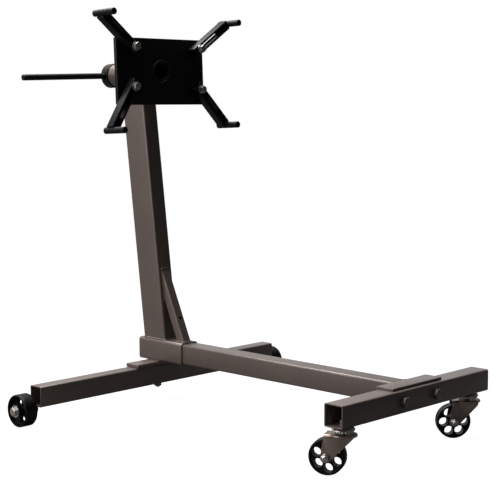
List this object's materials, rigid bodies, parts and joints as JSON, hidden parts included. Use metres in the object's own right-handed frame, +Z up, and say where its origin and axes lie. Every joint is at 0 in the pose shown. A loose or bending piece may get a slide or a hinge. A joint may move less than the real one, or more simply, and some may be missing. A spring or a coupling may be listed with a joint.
{
  "type": "engine stand",
  "caption": "Wheeled workshop engine stand: a leaning post on a T-shaped base carries a rotating plate with adjustable slotted arms.",
  "frame": {"origin": "on the floor, under the middle of the stand's overall length and width", "axes": "+X from the post towards the swivel casters, +Y to the stand's left, +Z up"},
  "size_m": [1.0576, 0.9352, 1.0146],
  "materials": {
    "frame_paint": "satin bronze-grey paint",
    "head_paint": "semi-gloss black paint",
    "wheel": "moulded black",
    "zinc": "bright zinc plate",
    "fork_steel": "plated pressed steel",
    "bearing_steel": "polished"
  },
  "bodies": {
    "stand": {"rear_crossmember": "frame_paint", "mount_plate": "frame_paint", "base_bolt": "zinc", "leg_socket": "frame_paint", "main_leg": "frame_paint", "post": "frame_paint", "post_brace": "frame_paint", "front_crossmember": "frame_paint", "front_bracket": "frame_paint", "bracket_bolt_right": "zinc", "bracket_bolt_left": "zinc", "axle_boss_right": "frame_paint", "axle_boss_left": "frame_paint", "rear_axle_right": "zinc", "rear_axle_left": "zinc", "caster_race_right": "bearing_steel", "caster_race_left": "bearing_steel", "caster_ball_ring_right": "bearing_steel", "caster_ball_ring_left": "bearing_steel", "caster_king_bolt_right": "zinc", "caster_king_bolt_left": "zinc", "head_sleeve": "frame_paint", "lock_boss": "frame_paint"},
    "rear_wheel_right": {"rear_wheel_right": "wheel", "rear_bush_right": "bearing_steel"},
    "caster_right": {"caster_fork_right": "fork_steel", "caster_axle_right": "zinc"},
    "caster_wheel_right": {"caster_wheel_right": "wheel", "caster_bush_right": "bearing_steel"},
    "rear_wheel_left": {"rear_wheel_left": "wheel", "rear_bush_left": "bearing_steel"},
    "caster_left": {"caster_fork_left": "fork_steel", "caster_axle_left": "zinc"},
    "caster_wheel_left": {"caster_wheel_left": "wheel", "caster_bush_left": "bearing_steel"},
    "head": {"head_tube": "head_paint", "head_plate": "head_paint", "tube_collar": "head_paint"},
    "lock_pin": {"lock_pin": "zinc"},
    "handle": {"handle_bar": "head_paint"},
    "arm_pivot_upper_right": {"arm_bolt_upper_right": "zinc", "arm_washer_upper_right": "zinc"},
    "arm_upper_right": {"arm_upper_right": "head_paint", "arm_tip_upper_right": "head_paint"},
    "arm_pivot_upper_left": {"arm_bolt_upper_left": "zinc", "arm_washer_upper_left": "zinc"},
    "arm_upper_left": {"arm_upper_left": "head_paint", "arm_tip_upper_left": "head_paint"},
    "arm_pivot_lower_right": {"arm_bolt_lower_right": "zinc", "arm_washer_lower_right": "zinc"},
    "arm_lower_right": {"arm_lower_right": "head_paint", "arm_tip_lower_right": "head_paint"},
    "arm_pivot_lower_left": {"arm_bolt_lower_left": "zinc", "arm_washer_lower_left": "zinc"},
    "arm_lower_left": {"arm_lower_left": "head_paint", "arm_tip_lower_left": "head_paint"}
  },
  "joints": [
    {"name": "rear_wheel_right_roll", "type": "hinge", "parent": "stand", "child": "rear_wheel_right", "pos_m": [-0.35447, -0.4371, 0.04], "axis": [0, 1, 0], "continuous": true},
    {"name": "caster_right_swivel", "type": "hinge", "parent": "stand", "child": "caster_right", "pos_m": [0.49213, -0.232, 0.0905], "axis": [0, 0, 1], "continuous": true},
    {"name": "caster_wheel_right_roll", "type": "hinge", "parent": "caster_right", "child": "caster_wheel_right", "pos_m": [0.46152, -0.2468, 0.04], "axis": [-0.4352, 0.9003, 0], "continuous": true},
    {"name": "rear_wheel_left_roll", "type": "hinge", "parent": "stand", "child": "rear_wheel_left", "pos_m": [-0.35447, 0.4371, 0.04], "axis": [0, 1, 0], "continuous": true},
    {"name": "caster_left_swivel", "type": "hinge", "parent": "stand", "child": "caster_left", "pos_m": [0.49213, 0.218, 0.0905], "axis": [0, 0, 1], "continuous": true},
    {"name": "caster_wheel_left_roll", "type": "hinge", "parent": "caster_left", "child": "caster_wheel_left", "pos_m": [0.46894, 0.19313, 0.04], "axis": [-0.7314, 0.682, 0], "continuous": true},
    {"name": "head_rotation", "type": "hinge", "parent": "stand", "child": "head", "pos_m": [-0.32137, 0, 0.8634], "axis": [0.9993, 0, 0.0377], "continuous": true},
    {"name": "lock_pin_slide", "type": "slide", "parent": "stand", "child": "lock_pin", "axis": [0.0377, 0, -0.9993], "range_m": [0, 0.01]},
    {"name": "handle_slide", "type": "slide", "parent": "head", "child": "handle", "axis": [-0.001, 0.9997, 0.0262], "range_m": [-0.01, 0.23]},
    {"name": "arm_upper_right_pivot", "type": "hinge", "parent": "head", "child": "arm_pivot_upper_right", "pos_m": [-0.32365, -0.1071, 0.92396], "axis": [0.9993, 0, 0.0377], "range_deg": [-40.8, 34.2]},
    {"name": "arm_upper_right_slide", "type": "slide", "parent": "arm_pivot_upper_right", "child": "arm_upper_right", "axis": [-0.0238, -0.7749, 0.6316], "range_m": [-0.03, 0.0062]},
    {"name": "arm_upper_left_pivot", "type": "hinge", "parent": "head", "child": "arm_pivot_upper_left", "pos_m": [-0.32363, 0.1208, 0.92336], "axis": [0.9993, 0, 0.0377], "range_deg": [-28.1, 46.9]},
    {"name": "arm_upper_left_slide", "type": "slide", "parent": "arm_pivot_upper_left", "child": "arm_upper_left", "axis": [-0.0206, 0.8377, 0.5457], "range_m": [-0.03, 0.0052]},
    {"name": "arm_lower_right_pivot", "type": "hinge", "parent": "head", "child": "arm_pivot_lower_right", "pos_m": [-0.31989, -0.1121, 0.82403], "axis": [0.9993, 0, 0.0377], "range_deg": [-46.6, 23.4]},
    {"name": "arm_lower_right_slide", "type": "slide", "parent": "arm_pivot_lower_right", "child": "arm_lower_right", "axis": [0.0315, -0.5505, -0.8343], "range_m": [-0.03, 0.0016]},
    {"name": "arm_lower_left_pivot", "type": "hinge", "parent": "head", "child": "arm_pivot_lower_left", "pos_m": [-0.31963, 0.1183, 0.81713], "axis": [0.9993, 0, 0.0377], "range_deg": [-34.6, 35.4]},
    {"name": "arm_lower_left_slide", "type": "slide", "parent": "arm_pivot_lower_left", "child": "arm_lower_left", "axis": [0.0268, 0.7022, -0.7115], "range_m": [-0.03, 0]}
  ]
}
